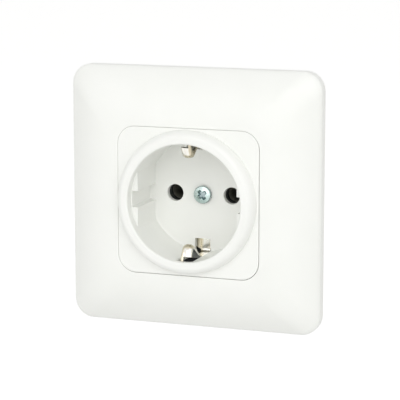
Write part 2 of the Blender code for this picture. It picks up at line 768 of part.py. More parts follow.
def base_blank():
    """Moulded body with its two posts to the ring and the guide ribs of the claws."""
    soft = BASE_REAR_CHAMFER
    steps = 20
    outlines = [
        (clipped_circle(BASE_RADIUS, BASE_HALF_WIDTH, steps), BASE_Y),
        (clipped_circle(BASE_RADIUS, BASE_HALF_WIDTH, steps), BASE_BACK_Y - soft),
        (clipped_circle(BASE_RADIUS - soft, BASE_HALF_WIDTH - soft, steps), BASE_BACK_Y),
    ]
    rings = [[(x, y, z) for x, z in outline] for outline, y in outlines]
    body = skin("mechanism_base", rings)
    half = POST_WIDTH / 2
    spread = math.degrees(math.asin(half / (BASE_RADIUS - GAP)))
    post = [(half, POST_INNER_Z), *arc((0, 0), BASE_RADIUS - GAP, 90 - spread, 90 + spread, 8)]
    post.append((-half, POST_INNER_Z))
    posts = [prism("post", post, GAP, BASE_Y + TINY)]
    posts.append(prism("post", [(-x, -z) for x, z in post], GAP, BASE_Y + TINY))
    ribs = []
    inner = NUT_HALF_Z + GAP + CLAW_THICKNESS + 2 * GAP
    outer = inner + GUIDE_RIB_WIDTH
    for side in (-1, 1):
        for level in (-1, 1):
            near = side * (BASE_HALF_WIDTH - TINY)
            far = side * (BASE_HALF_WIDTH + GUIDE_RIB_HEIGHT)
            low = (min(near, far), BASE_Y, min(level * inner, level * outer))
            high = (max(near, far), BASE_BACK_Y - GUIDE_RIB_SETBACK, max(level * inner, level * outer))
            ribs.append(box("guide", low, high))
    return join(body, *posts, *ribs)


def make_mechanism_base():
    base = base_blank()
    cut(base, *line_cutters(-1))
    cut(base, *line_cutters(1))
    cut(base, *earth_cutters())
    front = BASE_Y - TINY
    bush_end = CONTACT_COVER_Y + BUSH_LENGTH + GAP
    drills = [rod("bush_hole", COVER_SCREW_RADIUS + BUSH_WALL + GAP, front, bush_end, (0, 0))]
    small_end = CONTACT_COVER_Y + SMALL_SCREW_LENGTH + GAP
    for place in small_screw_places():
        drills.append(rod("small_hole", SMALL_SCREW_RADIUS + THREAD_GAP, front, small_end, place))
    for place in rivet_places():
        drills.append(rod("rivet_hole", RIVET_RADIUS + GAP, -TINY, RIVET_LENGTH, place))
    cut(base, *drills)
    finish(base, GREY_PLASTIC)


def sleeve_section(radius, y, centre_x):
    """One C-shaped section of a sleeve, open at the top."""
    opening = math.degrees(SLEEVE_SLIT / 2 / radius)
    start = 90 + opening
    end = 450 - opening
    outer = arc((centre_x, 0), radius + SLEEVE_WALL, start, end, 20)
    inner = arc((centre_x, 0), radius, end, start, 20)
    return [(x, y, z) for x, z in outer + inner]


def make_line_contact(name, side):
    """Sprung sleeve with a flared mouth, and the flat tail to its terminal."""
    centre = side * PIN_SPACING / 2
    start = BASE_Y + GAP
    stations = (
        (0, SLEEVE_FLARE),
        (0.08, 0.15 * SLEEVE_FLARE),
        (0.35, -SLEEVE_PINCH),
        (0.6, 0),
        (1, 0),
    )
    rings = []
    for share, change in stations:
        rings.append(sleeve_section(SLEEVE_RADIUS + change, start + SLEEVE_LENGTH * share, centre))
    contact = skin(name, rings)
    half = TAIL_WIDTH / 2
    terminal = side * LINE_TERMINAL_X
    inner = centre + side * (SLEEVE_RADIUS + SLEEVE_WALL / 2)
    outer = terminal + side * half
    inner_edge = terminal - side * half
    end = LINE_TERMINAL_Z - CAGE_HEIGHT / 2
    outline = [(inner, half), (outer, half), (outer, end)]
    outline += [(inner_edge, end), (inner_edge, -half), (inner, -half)]
    join(contact, prism("tail", outline, TAIL_Y, TAIL_BACK_Y))
    finish(contact, BRASS)


def make_terminal(name, x, z):
    """Rising cage and its screw: the screw turns in place and draws the cage forwards."""
    half = CAGE_WIDTH / 2
    side = CAGE_HEIGHT / 2
    front = CAGE_FRONT_Y - TERMINAL_HEAD_Y
    back = CAGE_BACK_Y - TERMINAL_HEAD_Y
    cage = box(name + "_cage", (-half, front, -side), (half, back, side))
    inner = half - CAGE_WALL
    room = box("room", (-inner, front + CAGE_WALL, -side - TINY), (inner, back - CAGE_WALL, side + TINY))
    thread = rod("thread", TERMINAL_SCREW_RADIUS + THREAD_GAP, front - TINY, front + 1.5 * CAGE_WALL, (0, 0))
    cut(cage, room, thread)
    finish(cage, ZINC_STEEL, (x, TERMINAL_HEAD_Y, z))
    length = TAIL_Y - GAP - TERMINAL_HEAD_Y
    screw = slotted_screw(
        name + "_screw", TERMINAL_HEAD_RADIUS, TERMINAL_HEAD_HEIGHT, TERMINAL_SCREW_RADIUS, length
    )
    finish(screw, ZINC_STEEL, (x, TERMINAL_HEAD_Y, z))


def rivet_places():
    """Middle of each post's section where its two rivets go."""
    outer = math.sqrt(BASE_RADIUS**2 - RIVET_X**2)
    z = (POST_INNER_Z + outer) / 2
    return [(side * RIVET_X, level * z) for side in (-1, 1) for level in (-1, 1)]


def ring_slots():
    """Slots for the wall box's screws, one in the middle of each side."""
    reach = BOX_SCREW_SPACING / 2
    half = BOX_SLOT_LENGTH / 2
    slots = []
    for sign in (-1, 1):
        slots.append(obround(half, BOX_SLOT_RADIUS, (sign * reach, 0), False))
        slots.append(obround(half, BOX_SLOT_RADIUS, (0, sign * reach), True))
    return slots


def make_support_ring():
    half = RING_WIDTH / 2
    short = half - RING_CORNER_CUT
    quarter = [(half, -short), (half, short)]
    outline = []
    for _ in range(4):
        outline += quarter
        quarter = [(-z, x) for x, z in quarter]
    ring = prism("support_ring", outline, RING_FRONT_Y, 0)
    front = RING_FRONT_Y - TINY
    cutters = [rod("opening", RING_OPENING_RADIUS, front, TINY, (0, 0), ROUND_STEPS)]
    cutters += [prism("box_slot", slot, front, TINY) for slot in ring_slots()]
    cutters += [rod("rivet_hole", RIVET_RADIUS + GAP, front, TINY, place) for place in rivet_places()]
    for side in (-1, 1):
        place = (side * CLAW_SCREW_X, 0)
        cutters.append(rod("claw_hole", CLAW_SCREW_RADIUS + GAP, front, TINY, place))
    finish(cut(ring, *cutters), ZINC_STEEL)


def make_rivets():
    for number, place in enumerate(rivet_places(), 1):
        soft = RIVET_HEAD_HEIGHT * 0.5
        head = RIVET_HEAD_RADIUS
        end = RIVET_LENGTH - RING_FRONT_Y - GAP
        profile = [(head - soft, -RIVET_HEAD_HEIGHT), (head, -soft), (head, 0)]
        profile += [(RIVET_RADIUS, 0), (RIVET_RADIUS, end)]
        rivet = lathe(f"ring_rivet_{number}", profile, 16)
        finish(rivet, ZINC_STEEL, (place[0], RING_FRONT_Y - GAP, place[1]))


def small_screw_places():
    """One screw opposite the earth terminal, one near the lower edge."""
    return (-EARTH_TERMINAL_X, EARTH_TERMINAL_Z), (SMALL_SCREW_X, SMALL_SCREW_INSET - CONTACT_COVER_RADIUS)


def make_small_screws():
    for number, place in enumerate(small_screw_places(), 1):
        screw = slotted_screw(
            f"contact_cover_screw_{number}",
            SMALL_HEAD_RADIUS,
            SMALL_HEAD_HEIGHT,
            SMALL_SCREW_RADIUS,
            SMALL_SCREW_LENGTH,
        )
        finish(screw, ZINC_STEEL, (place[0], CONTACT_COVER_Y - GAP, place[1]))


def make_nut(name, x):
    """Threaded block on the claw screw, with a round trunnion on each side for the claw."""
    low = (-NUT_HALF_X, -NUT_HALF_Y, -NUT_HALF_Z)
    nut = box(name, low, (NUT_HALF_X, NUT_HALF_Y, NUT_HALF_Z))
    reach = NUT_HALF_Z + GAP + CLAW_THICKNESS + GAP
    for side in (-1, 1):
        ends = sorted((side * (NUT_HALF_Z - GAP), side * reach))
        join(nut, rod("trunnion", TRUNNION_RADIUS, ends[0], ends[1], (0, 0), 16, "Z"))
    reach = NUT_HALF_Y + TINY
    cut(nut, rod("thread", CLAW_SCREW_RADIUS + THREAD_GAP, -reach, reach, (0, 0)))
    finish(nut, ZINC_STEEL, (x, NUT_DEPTH, 0))


def claw_web():
    """Outer web of a claw with three teeth at its far end, as (y, z)."""
    half = NUT_HALF_Z + GAP + CLAW_THICKNESS
    front = -CLAW_EAR_HALF_LENGTH
    root = CLAW_REACH - CLAW_TOOTH
    points = [(front, half), (front, -half)]
    teeth = 3
    pitch = 2 * half / teeth
    for tooth in range(teeth):
        start = -half + tooth * pitch
        points.append((root, start))
        points.append((CLAW_REACH, start + pitch / 2))
    points.append((root, half))
    return points


def make_claw(name, x, turn):
    """Bent steel claw that straddles its nut and pivots on the trunnions."""
    ear_half = CLAW_EAR_HALF_LENGTH
    inner_z = NUT_HALF_Z + GAP
    outer_z = inner_z + CLAW_THICKNESS
    web_outer = CLAW_WEB_DISTANCE + CLAW_THICKNESS
    claw = prism(name, claw_web(), CLAW_WEB_DISTANCE, web_outer, "X")
    ear_outline = [(CLAW_WEB_DISTANCE + CLAW_THICKNESS / 2, -ear_half)]
    ear_outline += arc((0, 0), ear_half, -90, -270, 12)
    ear_outline.append((CLAW_WEB_DISTANCE + CLAW_THICKNESS / 2, ear_half))
    for side in (-1, 1):
        ends = sorted((side * inner_z, side * outer_z))
        join(claw, prism("ear", ear_outline, ends[0], ends[1], "Z"))
    reach = outer_z + TINY
    cut(claw, rod("pivot", TRUNNION_RADIUS + THREAD_GAP, -reach, reach, (0, 0), 16, "Z"))
    finish(claw, ZINC_STEEL, (x, NUT_DEPTH, 0), turn)


def make_claw_set(side_name, side):
    x = side * CLAW_SCREW_X
    screw = slotted_screw(
        f"claw_screw_{side_name}",
        CLAW_HEAD_RADIUS,
        CLAW_HEAD_HEIGHT,
        CLAW_SCREW_RADIUS,
        CLAW_SCREW_LENGTH,
    )
    finish(screw, ZINC_STEEL, (x, RING_FRONT_Y - GAP, 0))
    make_nut(f"claw_nut_{side_name}", x)
    make_claw(f"claw_{side_name}", x, 0 if side > 0 else math.pi)


def main():
    clear_scene()
    make_cover_frame()
    make_centre_cover()
    make_cover_screw()
    make_earth_bush()
    make_earth_strap()
    make_contact_cover()
    make_mechanism_base()
    make_line_contact("live_contact", -1)
    make_line_contact("neutral_contact", 1)
    make_terminal("live_terminal", -LINE_TERMINAL_X, LINE_TERMINAL_Z)
    make_terminal("neutral_terminal", LINE_TERMINAL_X, LINE_TERMINAL_Z)
    make_terminal("earth_terminal", EARTH_TERMINAL_X, EARTH_TERMINAL_Z)
    make_support_ring()
    make_rivets()
    make_small_screws()
    make_claw_set("left", -1)
    make_claw_set("right", 1)


main()
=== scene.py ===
"""Dressed scene of the flush-mounted earthed wall socket.

Metres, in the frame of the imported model: +X right, +Y into the wall, +Z up.
"""

import math

import bmesh
import bpy
from mathutils import Matrix, Vector
from mathutils.geometry import interpolate_bezier


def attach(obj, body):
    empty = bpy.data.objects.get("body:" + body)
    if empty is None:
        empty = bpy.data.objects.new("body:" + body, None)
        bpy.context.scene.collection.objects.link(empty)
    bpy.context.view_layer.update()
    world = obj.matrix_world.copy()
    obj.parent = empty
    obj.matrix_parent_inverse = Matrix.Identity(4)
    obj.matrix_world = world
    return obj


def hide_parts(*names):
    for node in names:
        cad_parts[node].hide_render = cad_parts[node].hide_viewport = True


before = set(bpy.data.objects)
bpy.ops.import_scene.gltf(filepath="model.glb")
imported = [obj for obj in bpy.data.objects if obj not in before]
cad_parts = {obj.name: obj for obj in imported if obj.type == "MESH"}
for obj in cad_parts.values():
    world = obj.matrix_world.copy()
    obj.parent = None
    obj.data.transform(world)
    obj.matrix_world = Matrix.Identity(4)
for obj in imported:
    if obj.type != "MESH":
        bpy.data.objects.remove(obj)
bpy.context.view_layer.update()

# Planes along Y, from the front to the back
RIM_Y = -0.0146
FACE_Y = -0.0109
RING_Y = -0.001
FLOOR_Y = 0.0044
FLOOR_BACK_Y = 0.0064
STRAP_Y = 0.0071
TAIL_Y = 0.019

# How far a cutter, or an end that is joined, reaches past a face
OVERCUT = 0.001

# Steps round the well, the pin holes, the screw holes and the screws
ROUND_STEPS = 160
PIN_HOLE_STEPS = 64
SCREW_HOLE_STEPS = 48
SCREW_STEPS = 24

# Points nearer than this are one, and folds of more degrees than this stay sharp
MERGE_DISTANCE = 1e-7
SHARP_ANGLE = 32

# Cover frame, with half-widths, and heights from the wall
FRAME_HALF = 0.0412
FRAME_CORNER = 0.0062
FRAME_EDGE_HEIGHT = 0.0044
FRAME_EDGE_ROUNDING = 0.0012
FRAME_WALL = 0.0018
FACE_HEIGHT = -FACE_Y
CROWN_POWER = 2.2
CROWN_ROWS = 30
UNDERSIDE_STRIDE = 6
OPENING_HALF = 0.02331
OPENING_SHIFT = (0.00022, -0.00022)
OPENING_CORNER = 0.00586
OPENING_ROUNDING = 0.0002
LEDGE_WIDTH = 0.0014
LEDGE_TOP = 0.0086
LEDGE_THICKNESS = 0.0015
SKIRT_WALL = 0.0014
SKIRT_FOOT = 0.0013
NOTCH_HALF = 0.016
NOTCH_HEIGHT = 0.0029

# Centre cover; the collar has the radii of its crest and of its foot, drops count from the rim
PLATE_HALF = 0.0232
PLATE_CORNER = 0.0057
PLATE_THICKNESS = 0.002
PLATE_ROUNDING = 0.0002
PLATE_SHIFT = (0.00018, -0.00018)
COLLAR_TOP = 0.0203
COLLAR_BASE = 0.0227
WELL_RADIUS = 0.0185
WELL_WALL = 0.0013
LIP_ROUNDING = 0.0006
FLOOR_FILLET = 0.0004
FLAT_DISTANCE = 0.0163
FLAT_DROP = 0.0034
FLAT_ROUNDING = 0.00015
GROOVE_HALF = 0.0026
GROOVE_DEPTH = 0.0019
GROOVE_CORNER = 0.0005
EDGE_SOFTNESS = 0.0002
SLOT_HALF = 0.0026
SLOT_SHIFT = 0.00025
SLOT_REACH = 0.0203
SLOT_DROP = 0.0019
WINDOW_INNER = 0.01435
WINDOW_OUTER = 0.0182
PIN_X = 0.0095
PIN_HOLE_RADIUS = 0.0027
SCREW_HOLE_RADIUS = 0.00205

# Earth strap; the clip's tip, foot, crest and rear end are (y, z) on its centre line, each flat side of
# the strip has so many parts, and the tongue widens over a share of one step of the curve
STRAP_HALF = 0.0004
STRAP_SOFT = 0.00022
BEND_RADIUS = STRAP_HALF * 3
STRIP_PARTS = 8
CLIP_HALF = 0.0017
FINGER_WIDTH = 0.0009
NOSE_DISH = 0.0006
NOSE_LENGTH = 0.004
DISH_POWER = 2.5
CURVE_STEPS = 28
TONGUE_Z = 0.0172
TONGUE_STEP = 0.08
TIP = (-0.0119, 0.0196)
FOOT = (-0.0119, 0.0188)
CREST = (-0.0091, 0.014)
REAR = (-0.0012, 0.0193)
ROOT_HALF = 0.003
BAR_HALF = 0.0039
TAB_X = 0.0086
TAB_Z = 0.0078
TAB_HALF = 0.0015
EARTH_X = 0.013
EARTH_Z = 0.013
TAIL_HALF = 0.0022
TAIL_PAST = 0.003
RIB_PITCH = 0.0019
RIB_HALF = (0.0004, 0.00135)
RIB_CORNER = 0.00025
RIB_HEIGHT = 0.00025
RIB_Z = 0.01635

# Where painted shade makes the strap warmer and darker, from start to full: across the clip, and in height
FINGER_PAINTED_SHADE = (0.0006, 0.001)
CREST_PAINTED_SHADE = (0.0149, 0.0144)

# Screws; the dome is the fall of the head from its middle to its rim, the gap is under the head, and
# shares are of the pitch for the thread's depth and of the head's height for the slot's floor
COVER_SCREW = {
    "head_radius": 0.0029, "head_height": 0.0015, "dome": 0.00045,
    "radius": 0.00175, "shoulder": 0.0005, "length": 0.0108, "pitch": 0.0006,
}
CLAW_SCREW = {
    "head_radius": 0.0028, "head_height": 0.0019, "dome": 0.0003,
    "radius": 0.0015, "shoulder": 0.0004, "length": 0.0245, "pitch": 0.0005,
}
CLAW_SCREW_X = 0.0252
HEAD_GAP = 0.0003
THREAD_ROWS = 6
THREAD_DEPTH = 0.45
DRIVER_SLOT_HALF = 0.0004
DRIVER_SLOT_FLOOR = 0.45

# Cross recess from the top down: arm, half-width, middle, and depth below the head's top
RECESS = (
    (0.0019, 0.0006, 0.00115, -OVERCUT),
    (0.0018, 0.00055, 0.00105, 0.0003),
    (0.0011, 0.00035, 0.0006, 0.0011),
)
RECESS_TURN = 38

# Depths below the head's top between which painted shade comes in, from start to full
RECESS_PAINTED_SHADE = (0.0004, 0.0009)

# The middle of a noise, where most of its values lie
NOISE_MIDDLE = (0.3, 0.7)

# Camera; the headings to the origin and of its aim are yaw to the left and pitch down, in degrees
SENSOR_WIDTH = 36
CAMERA_LENS = 162.45
CAMERA_CLIP = 0.01
CAMERA_DISTANCE = 0.570
CAMERA_PLACE = (19.685, 10.015)
CAMERA_AIM = (19.644, 10.126)

# Lamps: place, size and power; all of them face the origin
LAMPS = {
    "front": ((0.2, -1.35, 0.5), 1.4, 6.3),
    "key": ((0.5, -0.9, 0.9), 0.7, 1.5),
    "right_fill": ((1.1, -0.8, 0.3), 0.7, 1.7),
    "left_fill": ((-1.0, -0.9, 0.25), 0.7, 1.0),
}

# Light from all round, and the floor, whose lift is its own light for the rays that see it
AMBIENT = 0.61
FLOOR_LEVEL = -0.12
FLOOR_SIZE = 12
FLOOR_COLOUR = (0.86, 0.86, 0.85)
FLOOR_LIFT = 0.43


def arc(centre, radius, start, end, steps):
    """Points on an arc, with angles in degrees and both ends included."""
    angles = [math.radians(start + (end - start) * i / steps) for i in range(steps + 1)]
    return [(centre[0] + radius * math.cos(a), centre[1] + radius * math.sin(a)) for a in angles]


def rounded_rectangle(half_x, half_z, radius, steps):
    x = half_x - radius
    z = half_z - radius
    points = []
    for cx, cz, start in ((x, z, 0), (-x, z, 90), (-x, -z, 180), (x, -z, 270)):
        points += arc((cx, cz), radius, start, start + 90, steps)
    return points


def square_ring(half, radius, y, shift=(0, 0)):
    return [(x + shift[0], y, z + shift[1]) for x, z in rounded_rectangle(half, half, radius, 12)]


def object_from(name, bm):
    bmesh.ops.remove_doubles(bm, verts=bm.verts, dist=MERGE_DISTANCE)
    bmesh.ops.recalc_face_normals(bm, faces=bm.faces)
    mesh = bpy.data.meshes.new(name)
    bm.to_mesh(mesh)
    bm.free()
    obj = bpy.data.objects.new(name, mesh)
    bpy.context.scene.collection.objects.link(obj)
    return obj


def skin(name, rings, closed=False):
    """Loft through rings of equal length, capped at both ends or joined into a loop."""
    bm = bmesh.new()
    loops = [[bm.verts.new(point) for point in ring] for ring in rings]
    pairs = list(zip(loops, loops[1:]))
    if closed:
        pairs.append((loops[-1], loops[0]))
    for low, high in pairs:
        for i, vert in enumerate(low):
            j = (i + 1) % len(low)
            bm.faces.new((vert, low[j], high[j], high[i]))
    if not closed:
        bm.faces.new(loops[0])
        bm.faces.new(loops[-1])
    return object_from(name, bm)


def lathe(name, profile, steps, centre=(0, 0)):
    """Solid of revolution about a line along Y, from (radius, y) points, capped at both ends."""
    half = 180 / steps
    rings = []
    for radius, y in profile:
        circle = arc(centre, radius, half, 360 + half, steps)[:-1]
        rings.append([(x, y, z) for x, z in circle])
    return skin(name, rings)


def prism(name, outline, start, end, axis="Y"):
    """Extrude an outline: (x, z) points along Y or (x, y) points along Z."""
    if axis == "Y":
        rings = [[(a, level, b) for a, b in outline] for level in (start, end)]
    else:
        rings = [[(a, b, level) for a, b in outline] for level in (start, end)]
    return skin(name, rings)


def block(name, low, high):
    outline = [(low[0], low[2]), (high[0], low[2]), (high[0], high[2]), (low[0], high[2])]
    return prism(name, outline, low[1], high[1])


def apply_modifiers(obj):
    graph = bpy.context.evaluated_depsgraph_get()
    mesh = bpy.data.meshes.new_from_object(obj.evaluated_get(graph))
    obj.modifiers.clear()
    obj.data = mesh


def combine(target, tools, operation):
    for tool in tools:
        modifier = target.modifiers.new(tool.name, "BOOLEAN")
        modifier.operation = operation
        modifier.object = tool
    apply_modifiers(target)
    for tool in tools:
        bpy.data.objects.remove(tool, do_unlink=True)
    return target


def dress(obj, material, node, body="socket"):
    """Give a finer piece its material, and put it in the place of its CAD node."""
    obj.data.materials.clear()
    obj.data.materials.append(material)
    obj.data.shade_smooth()
    obj.data.set_sharp_from_angle(angle=math.radians(SHARP_ANGLE))
    weights = obj.modifiers.new("normals", "WEIGHTED_NORMAL")
    weights.keep_sharp = True
    apply_modifiers(obj)
    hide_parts(node)
    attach(obj, body)


# Materials


class Look:
    """A node material that is built up from the object's own coordinates."""

    def __init__(self, name, metallic, specular=0.5):
        self.material = bpy.data.materials.new(name)
        self.material.use_nodes = True
        self.nodes = self.material.node_tree.nodes
        self.links = self.material.node_tree.links
        self.shader = self.nodes["Principled BSDF"]
        self.shader.inputs["Metallic"].default_value = metallic
        self.shader.inputs["Specular IOR Level"].default_value = specular
        self.place = self.nodes.new("ShaderNodeTexCoord").outputs["Object"]
        self.normal = None

    def noise(self, scale, detail=2.0, stretch=(1, 1, 1)):
        """Noise from 0 to 1 at so many features a metre, drawn out along an axis where stretch is small."""
        mapping = self.nodes.new("ShaderNodeMapping")
        mapping.inputs["Scale"].default_value = stretch
        self.links.new(self.place, mapping.inputs["Vector"])
        noise = self.nodes.new("ShaderNodeTexNoise")
        noise.inputs["Scale"].default_value = scale
        noise.inputs["Detail"].default_value = detail
        self.links.new(mapping.outputs["Vector"], noise.inputs["Vector"])
        return noise.outputs["Fac"]

    def cells(self, scale):
        """Distance from the middle of each cell of a crystal pattern."""
        cells = self.nodes.new("ShaderNodeTexVoronoi")
        cells.inputs["Scale"].default_value = scale
        self.links.new(self.place, cells.inputs["Vector"])
        return cells.outputs["Distance"]

    def span(self, source, low, high):
        """Spread the middle of a noise over the range from low to high."""
        spread = self.nodes.new("ShaderNodeMapRange")
        spread.inputs["From Min"].default_value = NOISE_MIDDLE[0]
        spread.inputs["From Max"].default_value = NOISE_MIDDLE[1]
        spread.inputs["To Min"].default_value = low
        spread.inputs["To Max"].default_value = high
        self.links.new(source, spread.inputs["Value"])
        return spread.outputs["Result"]

    def shades(self, source, *stops):
        """Colours along a noise, as (place, colour)."""
        ramp = self.nodes.new("ShaderNodeValToRGB")
        points = ramp.color_ramp.elements
        while len(points) < len(stops):
            points.new(0.5)
        for point, (place, colour) in zip(points, stops):
            point.position = place
            point.color = (*colour, 1)
        self.links.new(source, ramp.inputs["Fac"])
        return ramp.outputs["Color"]

    def colour(self, source, *stops):
        """Base colour along a noise, as (place, colour)."""
        self.links.new(self.shades(source, *stops), self.shader.inputs["Base Color"])

    def axis(self, letter):
        """Place along X, Y or Z in metres."""
        split = self.nodes.new("ShaderNodeSeparateXYZ")
        self.links.new(self.place, split.inputs["Vector"])
        return split.outputs[letter]

    def maths(self, operation, *sources):
        maths = self.nodes.new("ShaderNodeMath")
        maths.operation = operation
        for source, socket in zip(sources, maths.inputs):
            self.links.new(source, socket)
        return maths.outputs["Value"]

    def edge(self, source, low, high):
        """Soft step from 0 at low to 1 at high."""
        step = self.nodes.new("ShaderNodeMapRange")
        step.interpolation_type = "SMOOTHSTEP"
        step.inputs["From Min"].default_value = low
        step.inputs["From Max"].default_value = high
        self.links.new(source, step.inputs["Value"])
        return step.outputs["Result"]

    def blend(self, mask, first, second):
        """Base colour that goes from the first to the second along a mask."""
        mix = self.nodes.new("ShaderNodeMix")
        mix.data_type = "RGBA"
        self.links.new(mask, mix.inputs["Factor"])
        self.links.new(first, mix.inputs["A"])
        self.links.new(second, mix.inputs["B"])
        self.links.new(mix.outputs["Result"], self.shader.inputs["Base Color"])

    def roughness(self, source, low, high):
        """Roughness that varies with a noise."""
        self.links.new(self.span(source, low, high), self.shader.inputs["Roughness"])

    def bump(self, source, depth, strength):
        """Add relief of a given depth in metres."""
        bump = self.nodes.new("ShaderNodeBump")
        bump.inputs["Distance"].default_value = depth
        bump.inputs["Strength"].default_value = strength
        self.links.new(source, bump.inputs["Height"])
        if self.normal:
            self.links.new(self.normal, bump.inputs["Normal"])
        self.normal = bump.outputs["Normal"]
        self.links.new(self.normal, self.shader.inputs["Normal"])


def white_plastic():
    """Satin moulded plastic: a fine mould grain, faint flow clouding and a slightly uneven sheen."""
    look = Look("white_plastic_look", 0)
    look.colour(
        look.noise(70, 4),
        (0.3, (0.906, 0.915, 0.878)),
        (0.5, (0.916, 0.924, 0.889)),
        (0.7, (0.925, 0.931, 0.899)),
    )
    look.roughness(look.noise(420, 3), 0.3, 0.42)
    look.bump(look.noise(35, 1), 0.00006, 0.35)
    look.bump(look.noise(5200, 2), 0.000006, 0.5)
    return look.material


def dark_plastic(name, shades, grain):
    """Matt moulded plastic with a spark-eroded grain and lighter scuffs."""
    look = Look(name, 0, 0.4)
    look.colour(look.noise(160, 5), *zip((0.32, 0.55, 0.72), shades))
    look.roughness(look.noise(700, 3), 0.42, 0.6)
    look.bump(look.noise(90, 2), 0.0001, 0.25)
    look.bump(look.noise(grain, 3), 0.00002, 0.6)
    return look.material


def zinc_plating(name, shades, rough):
    """Bright zinc: bluish, with faint crystals, rolling lines and cloudy patches."""
    look = Look(name, 1)
    look.colour(look.noise(320, 5), *zip((0.3, 0.5, 0.72), shades))
    look.roughness(look.noise(900, 4), *rough)
    look.bump(look.cells(1500), 0.00001, 0.3)
    look.bump(look.noise(2600, 2, (1, 0.06, 0.06)), 0.000006, 0.5)
    return look.material


def recessed_zinc():
    """Zinc of the cover screw, with painted shade that makes it darker in the recess and below the rim."""
    look = Look("cover_screw_look", 1)
    cloud = look.noise(320, 5)
    bright = look.shades(
        cloud, (0.3, (0.43, 0.55, 0.53)), (0.5, (0.53, 0.64, 0.62)), (0.72, (0.63, 0.73, 0.71))
    )
    # Painted shade: a darker copy of the zinc for the recess and the head below the rim
    painted_dark = look.shades(
        cloud, (0.3, (0.26, 0.32, 0.33)), (0.5, (0.34, 0.41, 0.42)), (0.72, (0.44, 0.51, 0.52))
    )
    top = FLOOR_Y - HEAD_GAP - COVER_SCREW["head_height"]
    start, full = (top + depth for depth in RECESS_PAINTED_SHADE)
    look.blend(look.edge(look.axis("Y"), start, full), bright, painted_dark)
    look.roughness(look.noise(900, 4), 0.2, 0.36)
    look.bump(look.cells(1500), 0.00001, 0.3)
    return look.material


def nickel_plating():
    """Polished nickel with drawing lines along the strip, and painted shade that makes the finger and the
    crest warmer and darker.
    """
    look = Look("nickel_look", 1)
    drawn = look.noise(700, 4, (1, 0.12, 0.12))
    bright = look.shades(
        drawn, (0.3, (0.72, 0.7, 0.63)), (0.5, (0.86, 0.84, 0.78)), (0.7, (0.92, 0.91, 0.87))
    )
    # Painted shade: a warmer, darker copy of the nickel on the finger and the crest, for the reflection of
    # the shaded well wall
    painted_warm_shade = look.shades(drawn, (0.3, (0.52, 0.46, 0.34)), (0.5, (0.7, 0.64, 0.5)), (0.7, (0.82, 0.77, 0.65)))
    height = look.axis("Z")
    finger = look.maths("MULTIPLY", look.axis("X"), look.maths("SIGN", height))
    finger = look.edge(finger, *FINGER_PAINTED_SHADE)
    crest = look.edge(look.maths("ABSOLUTE", height), *CREST_PAINTED_SHADE)
    look.blend(look.maths("MAXIMUM", finger, crest), bright, painted_warm_shade)
    look.roughness(look.noise(1400, 4, (1, 0.2, 0.2)), 0.08, 0.24)
    look.bump(look.noise(3600, 2, (1, 0.05, 0.05)), 0.000008, 0.6)
    look.bump(look.noise(420, 2), 0.00004, 0.4)
    return look.material


def brass(name, shades, rough):
    """Stamped brass with drawing lines and brown tarnish."""
    look = Look(name, 1)
    look.colour(look.noise(260, 6), *zip((0.34, 0.52, 0.7), shades))
    look.roughness(look.noise(1100, 4), *rough)
    look.bump(look.noise(3000, 2, (1, 0.05, 1)), 0.000008, 0.5)
    return look.material


WHITE = white_plastic()
NICKEL = nickel_plating()
BLACK = dark_plastic(
    "black_plastic_look", ((0.036, 0.039, 0.036), (0.048, 0.052, 0.048), (0.062, 0.066, 0.062)), 4200
)
GREY = dark_plastic(
    "grey_plastic_look", ((0.19, 0.19, 0.199), (0.2, 0.2, 0.21), (0.209, 0.209, 0.219)), 3600
)
SCREW_ZINC = zinc_plating(
    "screw_zinc_look", ((0.56, 0.67, 0.70), (0.68, 0.77, 0.79), (0.8, 0.86, 0.87)), (0.16, 0.34)
)
COVER_ZINC = recessed_zinc()
SHEET_ZINC = zinc_plating(
    "sheet_zinc_look", ((0.52, 0.55, 0.58), (0.62, 0.65, 0.69), (0.72, 0.75, 0.78)), (0.28, 0.46)
)
BRASS = brass("brass_look", ((0.42, 0.28, 0.10), (0.66, 0.48, 0.20), (0.78, 0.60, 0.30)), (0.24, 0.42))
CONTACT_BRASS = brass(
    "contact_brass_look", ((0.42, 0.42, 0.37), (0.55, 0.55, 0.49), (0.68, 0.67, 0.6)), (0.4, 0.58)
)


# Finer pieces


def frame_crown_height(share):
    """Height of the crowned front, from the opening (0) to the outer edge (1)."""
    return FACE_HEIGHT - (FACE_HEIGHT - FRAME_EDGE_HEIGHT) * share**CROWN_POWER


